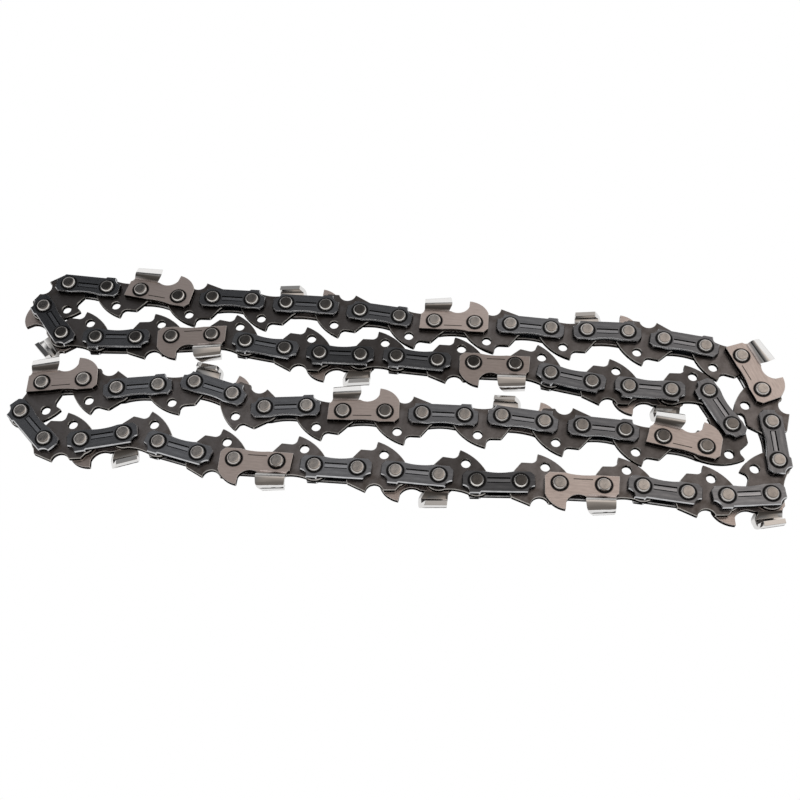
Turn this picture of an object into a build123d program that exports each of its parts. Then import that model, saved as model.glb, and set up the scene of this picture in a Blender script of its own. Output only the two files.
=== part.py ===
"""A low-profile saw chain of forty drive links, a closed loop lying folded on its side.

Every rivet axis is vertical.  A link is drawn in its own frame: the origin is on its rear
rivet, x points to its front rivet, which is the way the chain runs, y points to the cutting
side, and z = 0 is the middle of the drive link's thickness.  Lengths are in millimetres.
"""

import os
from math import acos, atan2, cos, degrees, hypot, radians, sin, tan

from build123d import *

# The chain's own sizes: mean rivet spacing, bar groove, and the stack of plates.
PITCH = 9.32
STRAP_CENTRES = 9.93
DRIVE_CENTRES = 2 * PITCH - STRAP_CENTRES
GAUGE = 1.27
PLATE = 1.2
RUNNING_GAP = 0.06
PLATE_INNER = GAUGE / 2 + RUNNING_GAP
PLATE_OUTER = PLATE_INNER + PLATE

# Rivet: a wide hub turns in the drive link, and the necks are spun over the side plates.
HUB_RADIUS = 1.8
HUB_CLEARANCE = 0.06
NECK_RADIUS = 1.35
NECK_CLEARANCE = 0.02
HEAD_RADIUS = 2.05
HEAD_RIM_RADIUS = 1.8
HEAD_FLAT_RADIUS = 1.1
HEAD_RIM_HEIGHT = 0.45
HEAD_HEIGHT = 0.75

# Drive link: a lobe round each rivet hole, and the tang that runs in the bar groove.
LOBE_RADIUS = 3.3
TANG_BACK_ANGLE = 217
TANG_BACK = (1.1, -6.05)
TANG_TIP = (4.85, -7.75)
HOOK_TOP = (5.05, -6.8)
HOOK_NOTCH = (5.35, -5.85)
SHOULDER_REAR = (6.2, -5.4)
SHOULDER_FRONT = (8.6, -5.4)
SLOPE_ANGLE = -54
TANG_HOLE = (3.1, -4.5)
TANG_HOLE_RADIUS = 1.1
SADDLE_ANGLE = 58
SADDLE_DEPTH = 2.45

# Guard on the drive links ahead of a cutter: a horn, a round notch, a peak and a ramp.
HORN_ANGLE = 112
HORN_REAR = (-0.4, 4.25)
HORN_FRONT = (2.4, 4.5)
GUARD_NOTCH = (4.5, 3.15)
PEAK_SETBACK = 2.3
RAMP_REACH = 2.1
GUARD_PEAK = (DRIVE_CENTRES - PEAK_SETBACK, 5.2)
RAMP_FOOT = (DRIVE_CENTRES + RAMP_REACH, 3.45)
RAMP_ANGLE = 42

# Tie strap: waisted towards the bar, corners scalloped on the cutting side, a front pad.
STRAP_END = 3.35
STRAP_FOOT = -2.6
STRAP_WAIST = -1.75
STRAP_TOP = 2.75
STRAP_PAD_TOP = 3.1
STRAP_CORNER = 1.05
WAIST_REACH = 1.4
SCALLOP_FOOT = 1.2
SCALLOP_REACH = 1.65
SCALLOP_HOLLOW = 0.32
PAD_LENGTH = 2.4
PAD_STEP = 0.35
RIB_REACH = 2.35
RIB_LOW = -0.85
RIB_HIGH = 0.55
RIB_DEPTH = 0.15

# Cutter: side plate with depth gauge and gullet, and the leaf bent over as the top plate.
CUTTER_REAR = -3.6
CUTTER_FOOT_REAR = -2.35
CUTTER_FOOT_FRONT = -2.7
CUTTER_WAIST = -1.85
CUTTER_SHOULDER = (-3.3, 2.0)
CUTTER_SHOULDER_HOLLOW = (-2.85, 2.35)
LEAF_ROOT_REAR = (-2.6, 3.05)
LEAF_ROOT_FRONT = (4.0, 3.05)
GULLET_BOTTOM = (5.9, 2.6)
GAUGE_REAR = (8.45, 4.4)
GAUGE_TIP = (8.6, 6.3)
GAUGE_BROW = (11.75, 4.95)
GAUGE_FRONT = (STRAP_CENTRES + STRAP_END, 2.8)
WITNESS_REAR = 2.4
WITNESS_LENGTH = 4.4
WITNESS_WIDTH = 0.22
WITNESS_Y = -1.2
WITNESS_DEPTH = 0.08

# Leaf: one sheet with the side plate.  It flares out to a crest, leans in from there and turns
# over, and its front is higher and wider than its rear, which gives both edges their relief.
KERF_HALF = 3.2
REAR_HALF = 2.9
LEAF_REAR = -2.5
LEAF_FRONT = 4.3
LEAF_TOP_REAR = 6.4
LEAF_TOP_FRONT = 7.1
LEAF_FOOT = 2.3
LEAF_FOLD = 2.7
LEAF_FLARE = 45
LEAF_LEAN = 15
LEAF_FREE_EDGE = 0.15
FOLD_RADIUS = 0.5
INSIDE_BEND = 0.15
BEND_RADIUS = PLATE + INSIDE_BEND
FILING_ANGLE = 31

# The way the loop lies: the heading of each link in whole degrees, in running order.  The
# two swings lie beside each other in pairs, so each pair shares one list of headings.
UPPER_SWING = (-12, -6, -6, -10, -7, -6)
LOWER_SWING = (-12, -4, -6, -6, -4, -12)
UPPER_TURN = (165, 164, 180, 179, 176, 169, 123, 50, -10, -9, -15, -5, -7, -10, -7, -14, -13)
OUTER_TURN = (-17, -15, -22, -72, -87, -93, None, None, 172)
LOWER_TURN = (171, 172, 173, 171, 173, 167, 160, 162, -173, 175, 130, 62, 2, -19, 2, 2, -22, -28, -1)
INNER_TURN = (-10, -10, -14, -18, 38, 112, 175, 171, 169, 163, 161)
SWING_STEP = 2
SIDE_LINKS = ("strap", "upper_cutter", "strap", "lower_cutter")


def swing(name, headings):
    """Split a swing into the pairs of links that hinge as one, named a, b, c."""
    starts = range(0, len(headings), SWING_STEP)
    return [(f"{name}_{letter}", headings[i : i + SWING_STEP]) for letter, i in zip("abc", starts)]


def turned_back(headings):
    """The same stretch of links run the other way."""
    return tuple(heading + 180 for heading in reversed(headings))


RUNS = [
    ("upper_turn", UPPER_TURN),
    *swing("top_run", UPPER_SWING),
    ("outer_turn", OUTER_TURN),
    *swing("bottom_run", turned_back(LOWER_SWING)),
    ("lower_turn", LOWER_TURN),
    *swing("third_run", LOWER_SWING),
    ("inner_turn", INNER_TURN),
    *swing("second_run", turned_back(UPPER_SWING)),
]


def link_length(index):
    """Rivet spacing of a link: side links and drive links take turns along the loop."""
    return STRAP_CENTRES if index % 2 == 0 else DRIVE_CENTRES


def step(point, heading, length):
    return (point[0] + length * cos(radians(heading)), point[1] + length * sin(radians(heading)))


def lay_loop():
    """Return every link as (run, index, rear rivet, heading); the two open headings close it."""
    links = [(run, heading) for run, headings in RUNS for heading in headings]
    first_open = next(i for i, (_, heading) in enumerate(links) if heading is None)
    last_open = first_open + 1
    rear = {0: (0.0, 0.0)}
    for i in range(first_open):
        rear[i + 1] = step(rear[i], links[i][1], link_length(i))
    rear[len(links)] = rear[0]
    for i in range(len(links) - 1, last_open, -1):
        rear[i] = step(rear[i + 1], links[i][1] + 180, link_length(i))
    start, end = rear[first_open], rear[last_open + 1]
    reach = hypot(end[0] - start[0], end[1] - start[1])
    near, far = link_length(first_open), link_length(last_open)
    bend = degrees(acos((near**2 + reach**2 - far**2) / (2 * near * reach)))
    straight = degrees(atan2(end[1] - start[1], end[0] - start[0]))
    rear[last_open] = step(start, straight + bend, near)
    laid = []
    for i, (run, _) in enumerate(links):
        ahead = rear[i + 1]
        heading = degrees(atan2(ahead[1] - rear[i][1], ahead[0] - rear[i][0]))
        laid.append((run, i, rear[i], heading))
    return laid


def plate(outline, bottom, thickness):
    return Pos(0, 0, bottom) * extrude(make_face(outline), thickness)


def bored(solid, centres, radius):
    """Cut a pair of rivet holes through a plate."""
    tool = Cylinder(radius, 4 * KERF_HALF)
    return solid - tool - Pos(centres, 0, 0) * tool


def drive_link(guarded):
    front = (DRIVE_CENTRES, 0)
    top_rear = HORN_ANGLE if guarded else SADDLE_ANGLE
    top_front = RAMP_ANGLE if guarded else 180 - SADDLE_ANGLE
    rear_lobe = CenterArc((0, 0), LOBE_RADIUS, top_rear, TANG_BACK_ANGLE - top_rear)
    front_lobe = CenterArc(front, LOBE_RADIUS, SLOPE_ANGLE, top_front - SLOPE_ANGLE)
    outline = [
        rear_lobe,
        ThreePointArc(rear_lobe @ 1, TANG_BACK, TANG_TIP),
        Line(TANG_TIP, HOOK_TOP),
        ThreePointArc(HOOK_TOP, HOOK_NOTCH, SHOULDER_REAR),
        Polyline(SHOULDER_REAR, SHOULDER_FRONT, front_lobe @ 0),
        front_lobe,
    ]
    if guarded:
        outline += [
            Polyline(front_lobe @ 1, RAMP_FOOT, GUARD_PEAK),
            ThreePointArc(GUARD_PEAK, GUARD_NOTCH, HORN_FRONT),
            Polyline(HORN_FRONT, HORN_REAR, rear_lobe @ 0),
        ]
    else:
        outline.append(ThreePointArc(front_lobe @ 1, (DRIVE_CENTRES / 2, SADDLE_DEPTH), rear_lobe @ 0))
    blank = plate(outline, -GAUGE / 2, GAUGE)
    tang_hole = Pos(*TANG_HOLE, 0) * Cylinder(TANG_HOLE_RADIUS, 2 * GAUGE)
    return bored(blank - tang_hole, DRIVE_CENTRES, HUB_RADIUS + HUB_CLEARANCE)


def waist(foot_rear, depth, foot_front):
    """The bar-side edge between the rivets, hollowed in one arc."""
    rear = (WAIST_REACH, foot_rear)
    front = (STRAP_CENTRES - WAIST_REACH, foot_front)
    return ThreePointArc(rear, (STRAP_CENTRES / 2, depth), front)


def tie_strap():
    """The upper strap; its rib groove is on the outer face."""
    front = STRAP_CENTRES + STRAP_END
    hollow = waist(STRAP_FOOT, STRAP_WAIST, STRAP_FOOT)
    scallop_mid = (SCALLOP_REACH / 2 + SCALLOP_HOLLOW, (SCALLOP_FOOT + STRAP_TOP) / 2 - SCALLOP_HOLLOW)
    pad_front = front - SCALLOP_REACH
    outline = [
        Polyline(
            (-STRAP_END, SCALLOP_FOOT),
            (-STRAP_END, STRAP_FOOT + STRAP_CORNER),
            (STRAP_CORNER - STRAP_END, STRAP_FOOT),
            hollow @ 0,
        ),
        hollow,
        Polyline(
            hollow @ 1,
            (front - STRAP_CORNER, STRAP_FOOT),
            (front, STRAP_FOOT + STRAP_CORNER),
            (front, SCALLOP_FOOT),
        ),
        ThreePointArc((front, SCALLOP_FOOT), (front - scallop_mid[0], scallop_mid[1]), (pad_front, STRAP_PAD_TOP)),
        Polyline(
            (pad_front, STRAP_PAD_TOP),
            (pad_front - PAD_LENGTH, STRAP_PAD_TOP),
            (pad_front - PAD_LENGTH - PAD_STEP, STRAP_TOP),
            (SCALLOP_REACH - STRAP_END, STRAP_TOP),
        ),
        ThreePointArc(
            (SCALLOP_REACH - STRAP_END, STRAP_TOP),
            (scallop_mid[0] - STRAP_END, scallop_mid[1]),
            (-STRAP_END, SCALLOP_FOOT),
        ),
    ]
    blank = plate(outline, PLATE_INNER, PLATE)
    rib_centre = Pos(STRAP_CENTRES / 2, (RIB_LOW + RIB_HIGH) / 2, PLATE_OUTER)
    groove = rib_centre * Box(STRAP_CENTRES - 2 * RIB_REACH, RIB_HIGH - RIB_LOW, 2 * RIB_DEPTH)
    return bored(blank - groove, STRAP_CENTRES, NECK_RADIUS + NECK_CLEARANCE)


def inner_corner(corner, slope_in, slope_out):
    """Where the sheet's inner face turns, behind a corner of its outer face."""
    lean = radians((slope_in + slope_out) / 2)
    depth = PLATE / cos(radians((slope_out - slope_in) / 2))
    return (corner[0] + depth * sin(lean), corner[1] - depth * cos(lean))


def leaf_section(x, top, half_width):
    """The leaf cut across the chain at x: the sheet's outer face, then its inner one."""
    rounding = cos(radians(LEAF_FLARE - LEAF_LEAN) / 2) / cos(radians(LEAF_FLARE + LEAF_LEAN) / 2) - 1
    peak = half_width + BEND_RADIUS * rounding
    crest = LEAF_FOLD + (peak - PLATE_OUTER) / tan(radians(LEAF_FLARE))
    shoulder = peak - (top - crest) * tan(radians(LEAF_LEAN))
    corners = [(LEAF_FOLD, PLATE_OUTER), (crest, peak), (top, shoulder)]
    slopes = [0, LEAF_FLARE, -LEAF_LEAN, -90]
    outer = FilletPolyline(
        (LEAF_FOOT, PLATE_OUTER),
        *corners,
        (top, LEAF_FREE_EDGE),
        radius=(FOLD_RADIUS, BEND_RADIUS, BEND_RADIUS),
    )
    inner = FilletPolyline(
        (LEAF_FOOT, PLATE_INNER),
        *(inner_corner(*turn) for turn in zip(corners, slopes, slopes[1:])),
        (top - PLATE, LEAF_FREE_EDGE),
        radius=(FOLD_RADIUS + PLATE, INSIDE_BEND, INSIDE_BEND),
    )
    sheet = make_face([outer, Line(outer @ 1, inner @ 1), inner, Line(inner @ 0, outer @ 0)])
    return Plane((x, 0, 0), x_dir=(0, 1, 0), z_dir=(1, 0, 0)) * sheet


def cutter():
    """The upper cutter; the lower one is its mirror image."""
    front = STRAP_CENTRES + STRAP_END
    hollow = waist(CUTTER_FOOT_REAR, CUTTER_WAIST, CUTTER_FOOT_FRONT)
    outline = [
        Polyline(CUTTER_SHOULDER, (CUTTER_REAR, CUTTER_FOOT_REAR), hollow @ 0),
        hollow,
        Polyline(
            hollow @ 1,
            (front - STRAP_CORNER, CUTTER_FOOT_FRONT),
            (front, CUTTER_FOOT_FRONT + STRAP_CORNER),
            GAUGE_FRONT,
        ),
        ThreePointArc(GAUGE_FRONT, GAUGE_BROW, GAUGE_TIP),
        Line(GAUGE_TIP, GAUGE_REAR),
        ThreePointArc(GAUGE_REAR, GULLET_BOTTOM, LEAF_ROOT_FRONT),
        Line(LEAF_ROOT_FRONT, LEAF_ROOT_REAR),
        ThreePointArc(LEAF_ROOT_REAR, CUTTER_SHOULDER_HOLLOW, CUTTER_SHOULDER),
    ]
    side = plate(outline, PLATE_INNER, PLATE)
    rear = leaf_section(LEAF_REAR, LEAF_TOP_REAR, REAR_HALF)
    leaf = loft([rear, leaf_section(LEAF_FRONT, LEAF_TOP_FRONT, KERF_HALF)], ruled=True)
    filing = Pos(LEAF_FRONT, LEAF_TOP_FRONT, KERF_HALF) * Rot(0, FILING_ANGLE, 0)
    leaf -= filing * Pos(KERF_HALF, 0, 0) * Box(2 * KERF_HALF, 4 * KERF_HALF, 6 * KERF_HALF)
    witness = Pos(WITNESS_REAR + WITNESS_LENGTH / 2, WITNESS_Y, PLATE_OUTER)
    body = side + leaf - witness * Box(WITNESS_LENGTH, WITNESS_WIDTH, 2 * WITNESS_DEPTH)
    return bored(body, STRAP_CENTRES, NECK_RADIUS + NECK_CLEARANCE)


def rivet():
    half = [
        (HUB_RADIUS, 0),
        (HUB_RADIUS, PLATE_INNER),
        (NECK_RADIUS, PLATE_INNER),
        (NECK_RADIUS, PLATE_OUTER),
        (HEAD_RADIUS, PLATE_OUTER),
        (HEAD_RIM_RADIUS, PLATE_OUTER + HEAD_RIM_HEIGHT),
        (HEAD_FLAT_RADIUS, PLATE_OUTER + HEAD_HEIGHT),
        (0, PLATE_OUTER + HEAD_HEIGHT),
    ]
    mirrored = [(radius, -height) for radius, height in reversed(half[1:])]
    points = [(radius, 0, height) for radius, height in mirrored + half[1:]]
    return revolve(make_face(Polyline(*points, close=True)), Axis.Z)


def solids():
    """Lay every piece of the loop: {run: {kind of piece: [solids]}}."""
    strap, upper_cutter, pin = tie_strap(), cutter(), rivet()
    lower_strap = mirror(strap, Plane.XY)
    lower_cutter = mirror(upper_cutter, Plane.XY)
    plain, guarded = drive_link(False), drive_link(True)
    pieces = {}
    for run, index, rear, heading in lay_loop():
        group = pieces.setdefault(run, {})
        place = Pos(*rear, KERF_HALF) * Rot(0, 0, heading)
        side = SIDE_LINKS[index // 2 % len(SIDE_LINKS)]
        if index % 2:
            link = plain if side == "strap" else guarded
            group.setdefault("drive_link", []).append(place * link)
            continue
        if side == "upper_cutter":
            group.setdefault("cutter", []).append(place * upper_cutter)
        else:
            group.setdefault("tie_strap", []).append(place * strap)
        if side == "lower_cutter":
            group.setdefault("cutter", []).append(place * lower_cutter)
        else:
            group.setdefault("tie_strap", []).append(place * lower_strap)
        for x in (0, STRAP_CENTRES):
            group.setdefault("rivet", []).append(place * Pos(x, 0, 0) * pin)
    return pieces


def origin_shift(pieces):
    """Bring the middle of the loop's box to the origin; the cutters' corners lie on z = 0."""
    boxes = [s.bounding_box() for group in pieces.values() for kind in group.values() for s in kind]
    middle_x = (min(b.min.X for b in boxes) + max(b.max.X for b in boxes)) / 2
    middle_y = (min(b.min.Y for b in boxes) + max(b.max.Y for b in boxes)) / 2
    return Pos(-middle_x, -middle_y, 0)


def node_name(run, kind, count):
    return f"{run}_{kind}" if count == 1 else f"{run}_{kind}s"


def main():
    os.makedirs("parts", exist_ok=True)
    pieces = solids()
    shift = origin_shift(pieces)
    for run, group in pieces.items():
        for kind, members in group.items():
            placed = [shift * member for member in members]
            node = placed[0] if len(placed) == 1 else Compound(children=placed)
            export_step(node, f"parts/{node_name(run, kind, len(placed))}.step")


if __name__ == "__main__":
    main()
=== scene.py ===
import random
from math import atan2, cos, radians, sin, tan

import bmesh
import bpy
from mathutils import Matrix, Vector


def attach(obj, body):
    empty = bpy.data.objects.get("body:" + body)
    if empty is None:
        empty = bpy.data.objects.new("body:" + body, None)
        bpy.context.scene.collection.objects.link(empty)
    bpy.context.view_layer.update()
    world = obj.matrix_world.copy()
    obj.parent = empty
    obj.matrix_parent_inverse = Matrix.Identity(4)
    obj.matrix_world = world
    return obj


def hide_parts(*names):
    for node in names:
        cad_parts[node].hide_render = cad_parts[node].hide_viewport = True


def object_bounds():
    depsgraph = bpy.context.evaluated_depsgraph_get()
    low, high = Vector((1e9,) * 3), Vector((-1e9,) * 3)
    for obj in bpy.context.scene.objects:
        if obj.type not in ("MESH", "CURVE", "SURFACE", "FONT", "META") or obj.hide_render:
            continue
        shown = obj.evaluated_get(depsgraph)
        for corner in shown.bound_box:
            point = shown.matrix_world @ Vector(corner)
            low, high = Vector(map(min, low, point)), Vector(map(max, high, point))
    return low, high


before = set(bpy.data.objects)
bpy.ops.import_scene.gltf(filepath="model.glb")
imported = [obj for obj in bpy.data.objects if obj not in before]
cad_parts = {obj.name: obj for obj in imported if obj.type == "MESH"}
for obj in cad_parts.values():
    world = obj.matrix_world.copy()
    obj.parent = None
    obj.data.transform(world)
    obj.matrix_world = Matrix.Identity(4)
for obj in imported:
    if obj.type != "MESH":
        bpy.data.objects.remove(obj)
cad_low, cad_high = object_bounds()

# Drive links
# Flat links stamped from spring steel and hardened to a dark, oily grey.  The tang with its hook
# and oil hole runs in the bar's groove; every second link has a guard ahead of a cutter.
MM = 0.001
WELD = 1e-6
RUNS = (
    "upper_turn", "top_run_a", "top_run_b", "top_run_c",
    "outer_turn", "bottom_run_a", "bottom_run_b", "bottom_run_c",
    "lower_turn", "third_run_a", "third_run_b", "third_run_c",
    "inner_turn", "second_run_a", "second_run_b", "second_run_c",
)


def solids_of(node):
    """Weld a copy of a node's triangles and return its solids as (points, faces), in laid order."""
    shape = bmesh.new()
    shape.from_mesh(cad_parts[node].data)
    bmesh.ops.remove_doubles(shape, verts=shape.verts, dist=WELD)
    shape.verts.index_update()
    shape.verts.ensure_lookup_table()
    seen = set()
    solids = []
    for vert in shape.verts:
        if vert.index in seen:
            continue
        island = {vert}
        edge_of_search = [vert]
        while edge_of_search:
            for edge in edge_of_search.pop().link_edges:
                for other in edge.verts:
                    if other not in island:
                        island.add(other)
                        edge_of_search.append(other)
        seen.update(v.index for v in island)
        ordered = sorted(island, key=lambda v: v.index)
        place = {v: i for i, v in enumerate(ordered)}
        faces = {face for v in ordered for face in v.link_faces}
        solids.append((
            [v.co.copy() for v in ordered],
            [[place[v] for v in face.verts] for face in sorted(faces, key=lambda f: f.index)],
        ))
    shape.free()
    return solids


def node_of(run, kind):
    """The node of a run's pieces of one kind, or None where the run has none."""
    return next((n for n in (f"{run}_{kind}", f"{run}_{kind}s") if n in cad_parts), None)


def middle(points):
    low = [min(p[axis] for p in points) for axis in range(3)]
    high = [max(p[axis] for p in points) for axis in range(3)]
    return Vector((a + b) / 2 for a, b in zip(low, high))


# The rivets give every link its place: link i reaches from rivet i to rivet i + 1.
rivet_axes = [middle(points) for run in RUNS for points, _ in solids_of(node_of(run, "rivet"))]
LINKS = len(rivet_axes)
headings = []
for i, rear in enumerate(rivet_axes):
    reach = rivet_axes[(i + 1) % LINKS] - rear
    headings.append(atan2(reach.y, reach.x))
links_of = {}
next_link = 0
for run in RUNS:
    pieces = len(solids_of(node_of(run, "drive_link"))) + len(solids_of(node_of(run, "rivet"))) // 2
    links_of[run] = range(next_link, next_link + pieces)
    next_link += pieces


def drive_links(run):
    """The odd links of a run: side links and drive links take turns along the chain."""
    return [i for i in links_of[run] if i % 2 == 1]


def link_solid(node, order, link):
    """One solid of a node, moved to its own frame: rear rivet at the origin, front rivet on +x."""
    points, faces = solids_of(node)[order]
    home = Matrix.Rotation(-headings[link], 4, "Z") @ Matrix.Translation(-rivet_axes[link])
    shape = bmesh.new()
    verts = [shape.verts.new(home @ p) for p in points]
    for corners in faces:
        shape.faces.new([verts[c] for c in corners])
    bmesh.ops.recalc_face_normals(shape, faces=shape.faces)
    return shape


FLAT_ANGLE = radians(1)
SHARP_ANGLE = radians(32)
SMOOTH_ANGLE = radians(33)
LEVEL = cos(radians(1.8))
UPRIGHT = cos(radians(72))
SHORT_EDGE = 0.03 * MM


def groove_wall(face, sunk):
    """Whether a face stands beside the floor of a groove."""
    beside = any(other[sunk] for edge in face.edges for other in edge.link_faces)
    return beside and abs(face.normal.z) < LEVEL


def round_edges(shape, width, steps):
    """Join the flat triangles and round the outside corners, marking the rounding as rubbed wear."""
    bmesh.ops.remove_doubles(shape, verts=shape.verts, dist=SHORT_EDGE)
    bmesh.ops.dissolve_limit(shape, angle_limit=FLAT_ANGLE, verts=shape.verts, edges=shape.edges)
    shape.normal_update()
    worn_edge_and_shaded_rim = shape.faces.layers.float.new("worn_edge_and_shaded_rim")
    sunk = shape.faces.layers.float.get("sunk")
    sharp = []
    for edge in shape.edges:
        outside = edge.is_manifold and edge.is_convex and edge.calc_face_angle() > SHARP_ANGLE
        if outside and not (sunk and any(groove_wall(face, sunk) for face in edge.link_faces)):
            sharp.append(edge)
    made = bmesh.ops.bevel(
        shape, geom=sharp, offset=width, segments=steps, profile=0.5, affect="EDGES", clamp_overlap=False,
    )
    for face in made["faces"]:
        face[worn_edge_and_shaded_rim] = 1.0


def steepen_edge(shape, foot, drop):
    """Draw the foot of an edge's chamfer further in, as a stamped edge rolls over."""
    for vert in shape.verts:
        if abs(abs(vert.co.z) - foot) < WELD:
            vert.co.z -= drop if vert.co.z > 0 else -drop


def mark_cut_sides(shape, bottom, top):
    """Mark a plate's stamped sides and the walls of its grooves, which get painted shade."""
    cut = shape.faces.layers.float.new("cut")
    worn_edge_and_shaded_rim = shape.faces.layers.float["worn_edge_and_shaded_rim"]
    sunk = shape.faces.layers.float.get("sunk")
    shape.normal_update()
    for face in shape.faces:
        heights = [vert.co.z for vert in face.verts]
        between = bottom - WELD < min(heights) and max(heights) < top + WELD
        side = between and not face[worn_edge_and_shaded_rim] and abs(face.normal.z) < UPRIGHT
        if side or sunk and groove_wall(face, sunk):
            face[cut] = 1.0


def pattern(name, shape):
    """Keep a link as the pattern for its copies; its flat faces stay flat and the rest is smooth."""
    shape.normal_update()
    for face in shape.faces:
        face.smooth = True
    for edge in shape.edges:
        if edge.is_manifold:
            one, other = (abs(face.normal.z) > LEVEL for face in edge.link_faces)
            edge.smooth = one == other and edge.calc_face_angle() < SMOOTH_ANGLE
    mesh = bpy.data.meshes.new(name)
    shape.to_mesh(mesh)
    shape.free()
    own = mesh.attributes.new("link", "FLOAT_VECTOR", "POINT")
    own.data.foreach_set("vector", [c for v in mesh.vertices for c in v.co])
    return bpy.data.objects.new(name, mesh)


def copies_tree():
    """Set one of two links on every point, turned to its heading, and give them their finish."""
    tree = bpy.data.node_groups.new("links_on_rivets", "GeometryNodeTree")
    sockets = {
        name: tree.interface.new_socket(name, in_out="INPUT", socket_type=kind)
        for name, kind in (
            ("Rivets", "NodeSocketGeometry"),
            ("First link", "NodeSocketObject"),
            ("Second link", "NodeSocketObject"),
            ("Finish", "NodeSocketMaterial"),
        )
    }
    tree.interface.new_socket("Links", in_out="OUTPUT", socket_type="NodeSocketGeometry")
    add = tree.nodes.new
    join = tree.links.new
    given = add("NodeGroupInput")
    heading = add("GeometryNodeInputNamedAttribute")
    heading.data_type = "FLOAT"
    heading.inputs["Name"].default_value = "heading"
    turn = add("ShaderNodeCombineXYZ")
    join(heading.outputs["Attribute"], turn.inputs["Z"])
    second = add("GeometryNodeInputNamedAttribute")
    second.data_type = "BOOLEAN"
    second.inputs["Name"].default_value = "second"
    first = add("FunctionNodeBooleanMath")
    first.operation = "NOT"
    join(second.outputs["Attribute"], first.inputs[0])
    both = add("GeometryNodeJoinGeometry")
    for link, chosen in (("First link", first.outputs[0]), ("Second link", second.outputs["Attribute"])):
        look = add("GeometryNodeObjectInfo")
        join(given.outputs[link], look.inputs["Object"])
        copy = add("GeometryNodeInstanceOnPoints")
        join(given.outputs["Rivets"], copy.inputs["Points"])
        join(chosen, copy.inputs["Selection"])
        join(look.outputs["Geometry"], copy.inputs["Instance"])
        join(turn.outputs["Vector"], copy.inputs["Rotation"])
        join(copy.outputs["Instances"], both.inputs["Geometry"])
    solid = add("GeometryNodeRealizeInstances")
    finish = add("GeometryNodeSetMaterial")
    made = add("NodeGroupOutput")
    join(both.outputs["Geometry"], solid.inputs["Geometry"])
    join(solid.outputs["Geometry"], finish.inputs["Geometry"])
    join(given.outputs["Finish"], finish.inputs["Material"])
    join(finish.outputs["Geometry"], made.inputs["Links"])
    return tree, {name: socket.identifier for name, socket in sockets.items()}


COPIES, COPIES_INPUT = copies_tree()
# A stretch's tone goes from 0, darkest, towards 1, lightest; those not named have the usual one.
STRETCH_TONE = {
    "upper_turn": 0.25, "second_run_a": 0.0, "second_run_b": 0.0, "second_run_c": 0.05,
    "bottom_run_c": 0.1, "third_run_a": 0.4, "inner_turn": 0.35, "lower_turn": 0.75,
}
USUAL_TONE = 0.6
TONE_SPREAD = 0.3
TONE_SEED = 7
tones = random.Random(TONE_SEED)


def lay(run, kind, places, first, second, finish):
    """Copy the links of one kind along a run; places holds (rivet, heading, whether second)."""
    node = node_of(run, kind)
    tone = STRETCH_TONE.get(run, USUAL_TONE)
    mesh = bpy.data.meshes.new(node)
    mesh.from_pydata([rivet for rivet, _, _ in places], [], [])
    for name, kind_of_value, values in (
        ("heading", "FLOAT", [heading for _, heading, _ in places]),
        ("second", "BOOLEAN", [is_second for _, _, is_second in places]),
        ("tone", "FLOAT", [tone + TONE_SPREAD * tones.random() for _ in places]),
    ):
        mesh.attributes.new(name, kind_of_value, "POINT").data.foreach_set("value", values)
    piece = bpy.data.objects.new(f"{node}_finished", mesh)
    bpy.context.scene.collection.objects.link(piece)
    copies = piece.modifiers.new("copies", "NODES")
    copies.node_group = COPIES
    copies[COPIES_INPUT["First link"]] = first
    copies[COPIES_INPUT["Second link"]] = second
    copies[COPIES_INPUT["Finish"]] = finish
    seen = piece.evaluated_get(bpy.context.evaluated_depsgraph_get())
    laid = bpy.data.meshes.new_from_object(seen)
    piece.modifiers.remove(copies)
    piece.data = laid
    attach(piece, run)
    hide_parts(node)


NOISE_ROUGHNESS = 0.55


def new_finish(name):
    """An empty metal: its node tree, its shader, and the link's own coordinates."""
    material = bpy.data.materials.new(name)
    material.use_nodes = True
    tree = material.node_tree
    shader = tree.nodes["Principled BSDF"]
    shader.inputs["Metallic"].default_value = 1.0
    own = tree.nodes.new("ShaderNodeAttribute")
    own.attribute_name = "link"
    return material, tree, shader, own.outputs["Vector"]


def stored(tree, name):
    node = tree.nodes.new("ShaderNodeAttribute")
    node.attribute_name = name
    return node.outputs["Fac"]


def noise(tree, place, scale, detail=4.0, stretch=(1, 1, 1)):
    """Noise in the link's own frame, with scale in patches per metre; stretch pulls it out."""
    along = tree.nodes.new("ShaderNodeMapping")
    along.inputs["Scale"].default_value = stretch
    tree.links.new(place, along.inputs["Vector"])
    node = tree.nodes.new("ShaderNodeTexNoise")
    node.inputs["Scale"].default_value = scale
    node.inputs["Detail"].default_value = detail
    node.inputs["Roughness"].default_value = NOISE_ROUGHNESS
    tree.links.new(along.outputs["Vector"], node.inputs["Vector"])
    return node.outputs["Fac"]


def ramp(tree, value, stops):
    """Map a value through (position, grey or colour) stops."""
    node = tree.nodes.new("ShaderNodeValToRGB")
    elements = node.color_ramp.elements
    while len(elements) < len(stops):
        elements.new(0.5)
    for element, (position, shade) in zip(elements, stops):
        element.position = position
        element.color = (*shade, 1) if isinstance(shade, tuple) else (shade, shade, shade, 1)
    tree.links.new(value, node.inputs["Fac"])
    return node.outputs["Color"]


def calc(tree, operation, a, b):
    """Work one value out of two, each a socket or a number."""
    node = tree.nodes.new("ShaderNodeMath")
    node.operation = operation
    for socket, value in zip(node.inputs, (a, b)):
        if isinstance(value, (int, float)):
            socket.default_value = value
        else:
            tree.links.new(value, socket)
    return node.outputs["Value"]


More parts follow.
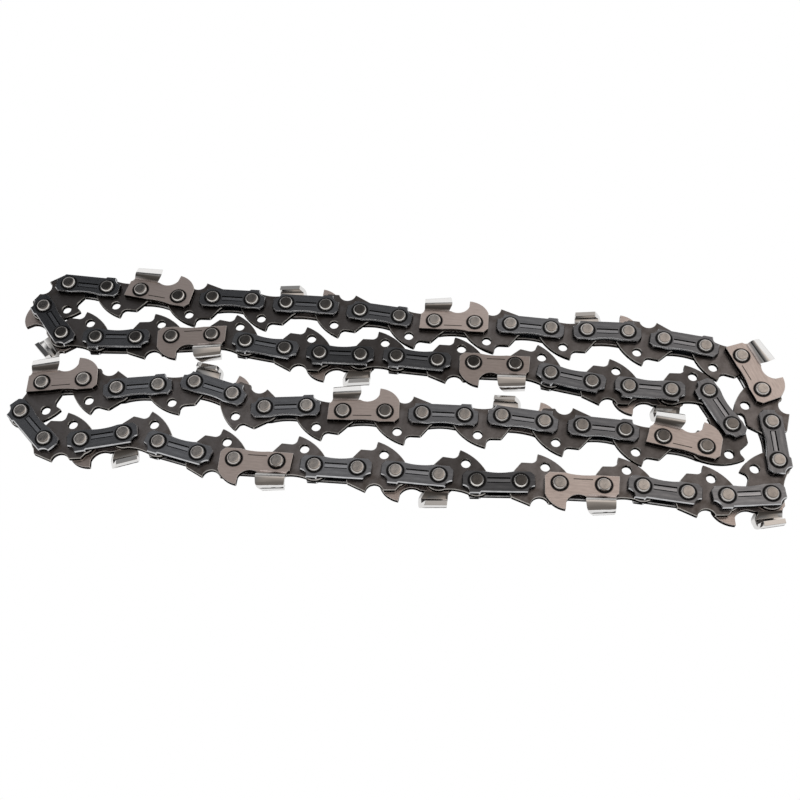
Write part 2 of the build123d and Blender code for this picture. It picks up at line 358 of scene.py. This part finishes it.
def mix(tree, share, a, b, blend="MIX"):
    """Blend two colours, each a socket or a plain colour."""
    node = tree.nodes.new("ShaderNodeMix")
    node.data_type = "RGBA"
    node.blend_type = blend
    colour_in = [s for s in node.inputs if s.type == "RGBA"]
    for socket, value in ((node.inputs[0], share), (colour_in[0], a), (colour_in[1], b)):
        if isinstance(value, (int, float)):
            socket.default_value = value
        elif isinstance(value, tuple):
            socket.default_value = (*value, 1)
        else:
            tree.links.new(value, socket)
    return next(s for s in node.outputs if s.type == "RGBA")


def shaded(tree, colour, by):
    return mix(tree, 1.0, colour, by, "MULTIPLY")


def rubbed(tree, own, patches, share):
    """How far a rounded edge is rubbed bright, which it is in patches."""
    return calc(tree, "MULTIPLY", stored(tree, "worn_edge_and_shaded_rim"), ramp(tree, noise(tree, own, patches), share))


def uneven(tree, own, waves, grain, grain_share):
    """The height of a surface that has broad waves and a share of fine grain."""
    return mix(tree, grain_share, noise(tree, own, waves, detail=2), grain)


def rough_surface(tree, shader, height, strength, depth):
    bump = tree.nodes.new("ShaderNodeBump")
    bump.inputs["Strength"].default_value = strength
    bump.inputs["Distance"].default_value = depth
    tree.links.new(height, bump.inputs["Height"])
    tree.links.new(bump.outputs["Normal"], shader.inputs["Normal"])


# Painted shade: the stamped sides and groove walls are darkened and lose their shine.
SIDE_SHINE = ((0.0, 1.0), (1.0, 0.06))


def dark_sides(tree, shader, colour):
    """Painted shade on the stamped sides: most of their colour and shine is taken away, also at a
    glancing angle.
    """
    shine = ramp(tree, stored(tree, "cut"), SIDE_SHINE)
    tree.links.new(shine, shader.inputs["Specular Tint"])
    tree.links.new(shaded(tree, colour, shine), shader.inputs["Base Color"])


SCALE_PATCHES = 420
SCALE_COLOURS = (
    (0.30, (0.128, 0.110, 0.101)), (0.50, (0.185, 0.171, 0.169)), (0.70, (0.245, 0.231, 0.233)),
)
SCALE_ROUGHNESS = ((0.25, 0.44), (0.75, 0.30))
DRIVE_TONE = ((0.0, 0.38), (0.4, 0.60), (0.6, 0.80), (1.0, 1.12))
DRIVE_RUB_PATCHES = 900
DRIVE_RUB = ((0.3, 0.4), (0.7, 0.9))
RUBBED_STEEL = (0.46, 0.44, 0.41)
DRIVE_WAVES = 260
DRIVE_GRAIN = 4200
DRIVE_GRAIN_SHARE = 0.04
DRIVE_BUMP = 0.5
WAVE_DEPTH = 0.16 * MM


def oiled_steel():
    """Hardened steel: brown-grey scale in patches, rubbed to paler metal at the stamped edges."""
    material, tree, shader, own = new_finish("oiled_steel")
    patches = noise(tree, own, SCALE_PATCHES, detail=5)
    each = ramp(tree, stored(tree, "tone"), DRIVE_TONE)
    tinted = shaded(tree, ramp(tree, patches, SCALE_COLOURS), each)
    rub = rubbed(tree, own, DRIVE_RUB_PATCHES, DRIVE_RUB)
    dark_sides(tree, shader, mix(tree, rub, tinted, RUBBED_STEEL))
    tree.links.new(ramp(tree, patches, SCALE_ROUGHNESS), shader.inputs["Roughness"])
    grain = noise(tree, own, DRIVE_GRAIN, detail=3)
    height = uneven(tree, own, DRIVE_WAVES, grain, DRIVE_GRAIN_SHARE)
    rough_surface(tree, shader, height, DRIVE_BUMP, WAVE_DEPTH)
    return material


LINK_EDGE = 0.14 * MM
LINK_EDGE_STEPS = 1
LINK_EDGE_DROP = 0.06 * MM
LINK_HALF = 0.635 * MM
PATTERN_RUN = RUNS[0]
SIDE_LINKS = ("strap", "upper_cutter", "strap", "lower_cutter")


def drive_link_pattern(name, order, link):
    """The drive link that is link number `link` of the loop, with its stamped edges and sides."""
    shape = link_solid(node_of(PATTERN_RUN, "drive_link"), order, link)
    round_edges(shape, LINK_EDGE, LINK_EDGE_STEPS)
    steepen_edge(shape, LINK_HALF - LINK_EDGE, LINK_EDGE_DROP)
    mark_cut_sides(shape, -LINK_HALF, LINK_HALF)
    return pattern(name, shape)


def side_of(link):
    """What lies on a side link, or on the side link behind a drive link."""
    return SIDE_LINKS[link // 2 % len(SIDE_LINKS)]


plain_link = drive_link_pattern("plain_drive_link", order=0, link=1)
guarded_link = drive_link_pattern("guarded_drive_link", order=1, link=3)
drive_finish = oiled_steel()
for run in RUNS:
    places = [(rivet_axes[i], headings[i], side_of(i) != "strap") for i in drive_links(run)]
    lay(run, "drive_link", places, plain_link, guarded_link, drive_finish)

# Rivets
# Turned steel pins: the wide hub carries the drive link, the necks hold the side links, and each
# end is spun over into a low domed head with a rolled rim.
PLATE_TOP = 1.895 * MM
PLATE_FOOT = 0.695 * MM
HUB_RADIUS = 1.8 * MM
NECK_RADIUS = 1.35 * MM
RIVET_SIDES = 32
HEAD_PROFILE = (
    (2.05, 0.0), (2.05, 0.08), (2.01, 0.13), (1.92, 0.15), (1.78, 0.12), (1.70, 0.10), (1.67, 0.14),
    (1.64, 0.27), (1.54, 0.44), (1.44, 0.59), (1.38, 0.66), (1.30, 0.70), (1.10, 0.72),
    (0.70, 0.73), (0.30, 0.725), (0.0, 0.72),
)
COLLAR_RADIUS = 1.68 * MM
FACE_RADIUS = 1.39 * MM
FACE_PATCHES = 800
FACE_COLOURS = ((0.3, (0.335, 0.315, 0.300)), (0.7, (0.47, 0.445, 0.425)))
FACE_ROUGHNESS = ((0.3, 0.26), (0.7, 0.16))
FACE_TONE = ((0.0, 0.12), (0.4, 0.32), (0.6, 0.9), (1.0, 1.45))
# Painted highlight on the shoulders of the darker heads.
SHOULDER_HIGHLIGHT = ((0.35, (0.62, 0.60, 0.57)), (0.6, (0.44, 0.42, 0.40)))
# Painted black shadow round the rolled rim of each head.
COLLAR_SHADOW = (0.018, 0.018, 0.019)
FACE_WAVES = 380
TURNING_RINGS = 1100
TURNING_WANDER = 1.5
TURNING_SHARE = 0.05
FACE_BUMP = 0.7


def rivet_shape():
    """Turn the profile round the rivet's axis and mark the collar and shoulder of its heads."""
    half = [(HUB_RADIUS, PLATE_FOOT), (NECK_RADIUS, PLATE_FOOT), (NECK_RADIUS, PLATE_TOP)]
    half += [(r * MM, PLATE_TOP + h * MM) for r, h in HEAD_PROFILE]
    profile = [(r, -z) for r, z in reversed(half)] + half
    turns = [radians(360 / RIVET_SIDES) * k for k in range(RIVET_SIDES)]
    shape = bmesh.new()
    rings = []
    for radius, height in profile:
        if radius == 0:
            rings.append([shape.verts.new((0, 0, height))])
        else:
            rings.append([shape.verts.new((radius * cos(t), radius * sin(t), height)) for t in turns])
    rolled = shape.faces.layers.float.new("worn_edge_and_shaded_rim")
    shoulder = shape.faces.layers.float.new("shoulder")
    for low, high in zip(rings, rings[1:]):
        for k in range(RIVET_SIDES):
            after = (k + 1) % RIVET_SIDES
            corners = [low[k % len(low)], low[after % len(low)]]
            corners += [high[after % len(high)], high[k % len(high)]]
            shape.faces.new(list(dict.fromkeys(corners)))
    bmesh.ops.recalc_face_normals(shape, faces=shape.faces)
    for face in shape.faces:
        far = max(v.co.xy.length for v in face.verts)
        # The rim faces carry the painted shadow, and the shoulder faces carry the painted highlight.
        face[rolled] = 1.0 if far > COLLAR_RADIUS else 0.0
        face[shoulder] = 1.0 if FACE_RADIUS < far < COLLAR_RADIUS else 0.0
    return shape


def spun_steel():
    """Spun heads with faint turning rings, a painted highlight on the shoulders of the darker heads, and
    a painted black shadow round the rim.
    """
    material, tree, shader, own = new_finish("spun_steel")
    patches = noise(tree, own, FACE_PATCHES)
    tone = stored(tree, "tone")
    face = shaded(tree, ramp(tree, patches, FACE_COLOURS), ramp(tree, tone, FACE_TONE))
    head = mix(tree, stored(tree, "shoulder"), face, ramp(tree, tone, SHOULDER_HIGHLIGHT))
    colour = mix(tree, stored(tree, "worn_edge_and_shaded_rim"), head, COLLAR_SHADOW)
    tree.links.new(colour, shader.inputs["Base Color"])
    tree.links.new(ramp(tree, patches, FACE_ROUGHNESS), shader.inputs["Roughness"])
    rings = tree.nodes.new("ShaderNodeTexWave")
    rings.wave_type = "RINGS"
    rings.rings_direction = "Z"
    rings.inputs["Scale"].default_value = TURNING_RINGS
    rings.inputs["Distortion"].default_value = TURNING_WANDER
    tree.links.new(own, rings.inputs["Vector"])
    height = uneven(tree, own, FACE_WAVES, rings.outputs["Fac"], TURNING_SHARE)
    rough_surface(tree, shader, height, FACE_BUMP, WAVE_DEPTH)
    return material


def side_links(run):
    return [i for i in links_of[run] if i % 2 == 0]


rivet_link = pattern("rivet", rivet_shape())
rivet_finish = spun_steel()
for run in RUNS:
    ends = [(i, end) for i in side_links(run) for end in (0, 1)]
    places = [(rivet_axes[(i + end) % LINKS], headings[i], False) for i, end in ends]
    lay(run, "rivet", places, rivet_link, rivet_link, rivet_finish)

# Tie straps
# Blued steel plates riveted on in pairs, one each side of the drive links.  A shallow rib is
# pressed between the rivets, the corners are scalloped, and the stamped edges are rubbed bright.
STRAP_EDGE = 0.2 * MM
STRAP_EDGE_STEPS = 1
STRAP_EDGE_DROP = 0.12 * MM
WAIST_REAR = 1.4 * MM
WAIST_FRONT = 8.53 * MM
WAIST_FOOT = -2.6 * MM
WAIST_TOP = -1.6 * MM
WAIST_FILL = 0.5
GROOVE_REACH = 0.3 * MM
RIB_WALL = 0.3 * MM
RIVET_REACH = 9.93 * MM
# Painted shadow ring round each rivet head on the side links.
SHADOW_RING_REACH = 3.2 * MM
SHADOW_RING = ((0.0, 0.12), (0.63, 0.12), (0.70, 1.0))
DRAWN_ALONG = (1, 5, 5)
DRAWN_PATCHES = 300
BLUE_COLOURS = ((0.3, (0.138, 0.144, 0.158)), (0.7, (0.222, 0.230, 0.247)))
BLUE_ROUGHNESS = ((0.25, 0.32), (0.75, 0.18))
STRAP_TONE = ((0.0, 0.42), (0.2, 0.66), (0.4, 1.05), (0.75, 1.1), (1.0, 1.55))
RIB_TONE = ((0.0, 1.0), (1.0, 1.66))
STRAP_RUB_PATCHES = 700
STRAP_RUB = ((0.3, 0.6), (0.7, 1.0))
BRIGHT_STEEL = (0.56, 0.56, 0.565)
STRAP_WAVES = 230
STRAP_GRAIN = 2500
STRAP_GRAIN_ALONG = (1, 4, 4)
STRAP_GRAIN_SHARE = 0.015
STRAP_BUMP = 0.25


def off_rivets(tree, own):
    """Distance from the nearer rivet axis of a side link, as a share of the painted shadow ring's reach.
    """
    gaps = []
    for x in (0.0, RIVET_REACH):
        shifted = tree.nodes.new("ShaderNodeVectorMath")
        shifted.operation = "MULTIPLY_ADD"
        tree.links.new(own, shifted.inputs[0])
        shifted.inputs[1].default_value = (1 / SHADOW_RING_REACH, 1 / SHADOW_RING_REACH, 0)
        shifted.inputs[2].default_value = (-x / SHADOW_RING_REACH, 0, 0)
        far = tree.nodes.new("ShaderNodeVectorMath")
        far.operation = "LENGTH"
        tree.links.new(shifted.outputs["Vector"], far.inputs[0])
        gaps.append(far.outputs["Value"])
    return calc(tree, "MINIMUM", *gaps)


def rivet_shadow_ring(tree, own):
    """Painted shadow: a black ring on a side link round its two rivet heads."""
    return ramp(tree, off_rivets(tree, own), SHADOW_RING)


def blued_steel():
    """Blue-black heat scale, drawn along the strap, with bright steel along the edges."""
    material, tree, shader, own = new_finish("blued_steel")
    drawn = noise(tree, own, DRAWN_PATCHES, detail=6, stretch=DRAWN_ALONG)
    each = ramp(tree, stored(tree, "tone"), STRAP_TONE)
    pressed = ramp(tree, stored(tree, "sunk"), RIB_TONE)
    tinted = shaded(tree, shaded(tree, ramp(tree, drawn, BLUE_COLOURS), each), pressed)
    rub = rubbed(tree, own, STRAP_RUB_PATCHES, STRAP_RUB)
    colour = mix(tree, rub, tinted, BRIGHT_STEEL)
    dark_sides(tree, shader, shaded(tree, colour, rivet_shadow_ring(tree, own)))
    tree.links.new(ramp(tree, drawn, BLUE_ROUGHNESS), shader.inputs["Roughness"])
    grain = noise(tree, own, STRAP_GRAIN, stretch=STRAP_GRAIN_ALONG)
    height = uneven(tree, own, STRAP_WAVES, grain, STRAP_GRAIN_SHARE)
    rough_surface(tree, shader, height, STRAP_BUMP, WAVE_DEPTH)
    return material


def mark_grooves(shape):
    """Mark the floors of pressed and cut grooves, level faces just under the plate's outer face."""
    sunk = shape.faces.layers.float.new("sunk")
    for face in shape.faces:
        height = face.calc_center_median().z
        if abs(face.normal.z) > LEVEL and PLATE_TOP - GROOVE_REACH < height < PLATE_TOP - WELD:
            face[sunk] = 1.0


def turned_under(shape):
    """The lower twin of an upper side link: its mirror image below the drive links."""
    twin = shape.copy()
    bmesh.ops.scale(twin, vec=(1, 1, -1), verts=twin.verts)
    bmesh.ops.reverse_faces(twin, faces=twin.faces)
    return twin


def slope_rib(shape):
    """Draw the rib's floor in from its rim, so that its walls slope as pressed ones do."""
    sunk = shape.faces.layers.float["sunk"]
    floor_verts = {vert for face in shape.faces if face[sunk] for vert in face.verts}
    centre = middle([vert.co for vert in floor_verts])
    for vert in floor_verts:
        vert.co.y += RIB_WALL if vert.co.y < centre.y else -RIB_WALL


def fill_waist(shape):
    """Bring the bar-side edge nearer to a straight line, as the stamped ones have it."""
    for vert in shape.verts:
        if WAIST_REAR < vert.co.x < WAIST_FRONT and vert.co.y < WAIST_TOP:
            vert.co.y += (WAIST_FOOT - vert.co.y) * WAIST_FILL


strap_shape = link_solid(node_of(PATTERN_RUN, "tie_strap"), order=0, link=0)
mark_grooves(strap_shape)
slope_rib(strap_shape)
fill_waist(strap_shape)
round_edges(strap_shape, STRAP_EDGE, STRAP_EDGE_STEPS)
steepen_edge(strap_shape, PLATE_TOP - STRAP_EDGE, STRAP_EDGE_DROP)
mark_cut_sides(strap_shape, PLATE_FOOT, PLATE_TOP)
lower_strap = pattern("lower_tie_strap", turned_under(strap_shape))
upper_strap = pattern("upper_tie_strap", strap_shape)
strap_finish = blued_steel()
for run in RUNS:
    places = [
        (rivet_axes[i], headings[i], under)
        for i in side_links(run)
        for under, cutter in ((False, "upper_cutter"), (True, "lower_cutter"))
        if side_of(i) != cutter
    ]
    lay(run, "tie_strap", places, upper_strap, lower_strap, strap_finish)

# Cutters
# Chrome-plated side plates with a depth gauge in front; the leaf behind it is bent over as the
# top plate, ground at an angle in front and polished on the outside of the bend.
CUTTER_EDGE = 0.07 * MM
CUTTER_EDGE_STEPS = 2
GAUGE_FOLD = 4.7 * MM
GAUGE_REAR = 7.5 * MM
GAUGE_SLOPE = tan(radians(7))
GROUND_ALONG = (1, 9, 9)
GROUND_PATCHES = 500
SATIN_COLOURS = ((0.3, (0.53, 0.458, 0.430)), (0.7, (0.65, 0.567, 0.535)))
SATIN_ROUGHNESS = ((0.3, 0.44), (0.7, 0.34))
CUTTER_TONE = ((0.0, 0.35), (0.3, 0.85), (0.6, 0.97), (1.0, 1.12))
LEAF_END = 4.8 * MM
LEAF_SPAN = 10 * MM
LEAF_RISE = ((0.27, 0.0), (0.33, 1.0))
# Painted reflection on the leaf: dark near the plate, bright further up.
LEAF_REFLECTION_BANDS = ((0.32, (0.16, 0.155, 0.15)), (0.40, (0.40, 0.39, 0.38)), (0.44, (0.70, 0.69, 0.68)))
LEAF_ROUGHNESS = (0.12, 0.12, 0.12)
LEAF_HEIGHT = (0.5, 0.5, 0.5)
EDGE_RUB = 0.6
BARE_EDGE = (0.72, 0.70, 0.68)
# Painted shade on the floors of the grooves.
GROOVE_SHADE = (0.12, 0.11, 0.10)
CUTTER_WAVES = 200
CUTTER_LINES = 3000
CUTTER_LINES_ALONG = (1, 6, 6)
CUTTER_LINES_SHARE = 0.025
CUTTER_BUMP = 0.35
CUTTER_DEPTH = 0.14 * MM


def cutter_shape():
    """The upper cutter with rounded edges, its depth gauge folded a little inwards."""
    shape = link_solid(node_of(PATTERN_RUN, "cutter"), order=0, link=2)
    mark_grooves(shape)
    fill_waist(shape)
    round_edges(shape, CUTTER_EDGE, CUTTER_EDGE_STEPS)
    mark_cut_sides(shape, PLATE_FOOT, PLATE_TOP)
    for vert in shape.verts:
        if vert.co.x > GAUGE_REAR and vert.co.y > GAUGE_FOLD:
            vert.co.z -= (vert.co.y - GAUGE_FOLD) * GAUGE_SLOPE
    return shape


def satin_chrome():
    """Plating: satin on the flat with fine grinding lines, polished on the bent leaf, which has painted
    dark and bright reflection bands; the groove floors get painted shade.
    """
    material, tree, shader, own = new_finish("satin_chrome")
    split = tree.nodes.new("ShaderNodeSeparateXYZ")
    tree.links.new(own, split.inputs["Vector"])
    behind_gullet = calc(tree, "LESS_THAN", split.outputs["X"], LEAF_END)
    up_side = calc(tree, "MULTIPLY", split.outputs["Y"], 1 / LEAF_SPAN)
    leaf = calc(tree, "MULTIPLY", behind_gullet, ramp(tree, up_side, LEAF_RISE))
    ground = noise(tree, own, GROUND_PATCHES, detail=6, stretch=GROUND_ALONG)
    each = ramp(tree, stored(tree, "tone"), CUTTER_TONE)
    flat = shaded(tree, ramp(tree, ground, SATIN_COLOURS), each)
    whole = mix(tree, leaf, flat, ramp(tree, up_side, LEAF_REFLECTION_BANDS))
    rub = calc(tree, "MULTIPLY", stored(tree, "worn_edge_and_shaded_rim"), EDGE_RUB)
    plated = mix(tree, stored(tree, "sunk"), mix(tree, rub, whole, BARE_EDGE), GROOVE_SHADE)
    dark_sides(tree, shader, shaded(tree, plated, rivet_shadow_ring(tree, own)))
    satin_rough = ramp(tree, ground, SATIN_ROUGHNESS)
    tree.links.new(mix(tree, leaf, satin_rough, LEAF_ROUGHNESS), shader.inputs["Roughness"])
    lines = noise(tree, own, CUTTER_LINES, detail=3, stretch=CUTTER_LINES_ALONG)
    height = uneven(tree, own, CUTTER_WAVES, lines, CUTTER_LINES_SHARE)
    rough_surface(tree, shader, mix(tree, leaf, height, LEAF_HEIGHT), CUTTER_BUMP, CUTTER_DEPTH)
    return material


upper_shape = cutter_shape()
lower_cutter = pattern("lower_cutter", turned_under(upper_shape))
upper_cutter = pattern("upper_cutter", upper_shape)
cutter_finish = satin_chrome()
for run in RUNS:
    bearing = [i for i in side_links(run) if side_of(i) != "strap"]
    places = [(rivet_axes[i], headings[i], side_of(i) == "lower_cutter") for i in bearing]
    if places:
        lay(run, "cutter", places, upper_cutter, lower_cutter, cutter_finish)

for link in (plain_link, guarded_link, rivet_link, upper_strap, lower_strap, upper_cutter, lower_cutter):
    bpy.data.objects.remove(link)

# Stage
# A white table, a bright horizon all round, and a darker ceiling that is lit and warm on the
# front right, as the links there show it.  The table is plain white to the eye and in the metal.
FLOOR_HALF = 3.0
PAPER_COLOUR = (0.85, 0.85, 0.85, 1)
PAPER_ROUGHNESS = 0.9
floor_mesh = bpy.data.meshes.new("table")
corners = [(x * FLOOR_HALF, y * FLOOR_HALF, cad_low.z) for x, y in ((-1, -1), (1, -1), (1, 1), (-1, 1))]
floor_mesh.from_pydata(corners, [], [(0, 1, 2, 3)])
floor = bpy.data.objects.new("table", floor_mesh)
bpy.context.scene.collection.objects.link(floor)
paper = bpy.data.materials.new("white_paper")
paper.use_nodes = True
paper_tree = paper.node_tree
sheet = paper_tree.nodes["Principled BSDF"]
sheet.inputs["Base Color"].default_value = PAPER_COLOUR
sheet.inputs["Roughness"].default_value = PAPER_ROUGHNESS
blank = paper_tree.nodes.new("ShaderNodeEmission")
shown = paper_tree.nodes.new("ShaderNodeMixShader")
path = paper_tree.nodes.new("ShaderNodeLightPath")
seen_white = calc(paper_tree, "MAXIMUM", path.outputs["Is Camera Ray"], path.outputs["Is Glossy Ray"])
seen_white = calc(paper_tree, "MAXIMUM", seen_white, path.outputs["Is Transmission Ray"])
paper_tree.links.new(seen_white, shown.inputs["Fac"])
paper_tree.links.new(sheet.outputs["BSDF"], shown.inputs[1])
paper_tree.links.new(blank.outputs["Emission"], shown.inputs[2])
paper_tree.links.new(shown.outputs["Shader"], paper_tree.nodes["Material Output"].inputs["Surface"])
floor_mesh.materials.append(paper)

HORIZON_LIGHT = (1.15, 1.15, 1.15)
HORIZON_TO_CEILING = ((0.42, 0.0), (0.58, 1.0))
CEILING_MIDDLE = 0.75
CEILING_LIGHT = (
    (0.33, (0.050, 0.051, 0.054)),
    (0.41, (0.30, 0.298, 0.297)),
    (0.52, (0.42, 0.408, 0.396)),
    (0.68, (0.86, 0.775, 0.705)),
)
DEPTH_MIDDLE = 0.5
CEILING_DEPTH = ((0.40, 0.22), (0.62, 1.0))
FRONT_RIGHT = (0.5, -0.5, 0)
BACK = (0, 0.5, 0)
UP_AND_FORWARD = (0, -0.15, 1)
world = bpy.data.worlds.new("studio")
world.use_nodes = True
bpy.context.scene.world = world
sky = world.node_tree
direction = sky.nodes.new("ShaderNodeTexCoord").outputs["Generated"]


def towards(way):
    """How far a direction in the sky goes the given way."""
    node = sky.nodes.new("ShaderNodeVectorMath")
    node.operation = "DOT_PRODUCT"
    sky.links.new(direction, node.inputs[0])
    node.inputs[1].default_value = way
    return node.outputs["Value"]


ceiling = ramp(sky, calc(sky, "ADD", towards(FRONT_RIGHT), CEILING_MIDDLE), CEILING_LIGHT)
behind = ramp(sky, calc(sky, "ADD", towards(BACK), DEPTH_MIDDLE), CEILING_DEPTH)
rise = ramp(sky, towards(UP_AND_FORWARD), HORIZON_TO_CEILING)
studio_light = mix(sky, rise, HORIZON_LIGHT, shaded(sky, ceiling, behind))
sky.links.new(studio_light, sky.nodes["Background"].inputs["Color"])

# Camera
# It looks down on the rivet heads from the near side, through a normal lens held close, and is
# rolled a little to the left.
LOOK_AT = Vector((1.16 * MM, -3.81 * MM, 5.65 * MM))
DISTANCE = 259.75 * MM
ELEVATION = radians(60.37)
ROLL = radians(-2.64)
SENSOR_WIDTH = 36.0
FOCAL_LENGTH = 49.7
NEAREST = 0.01
camera_data = bpy.data.cameras.new("camera")
camera_data.sensor_width = SENSOR_WIDTH
camera_data.lens = FOCAL_LENGTH
camera_data.clip_start = NEAREST
camera = bpy.data.objects.new("camera", camera_data)
camera.location = LOOK_AT + DISTANCE * Vector((0, -cos(ELEVATION), sin(ELEVATION)))
aim = Matrix.Rotation(radians(90) - ELEVATION, 4, "X") @ Matrix.Rotation(ROLL, 4, "Z")
camera.rotation_euler = aim.to_euler()
bpy.context.scene.collection.objects.link(camera)
bpy.context.scene.camera = camera
bpy.context.scene.view_settings.view_transform = "Standard"
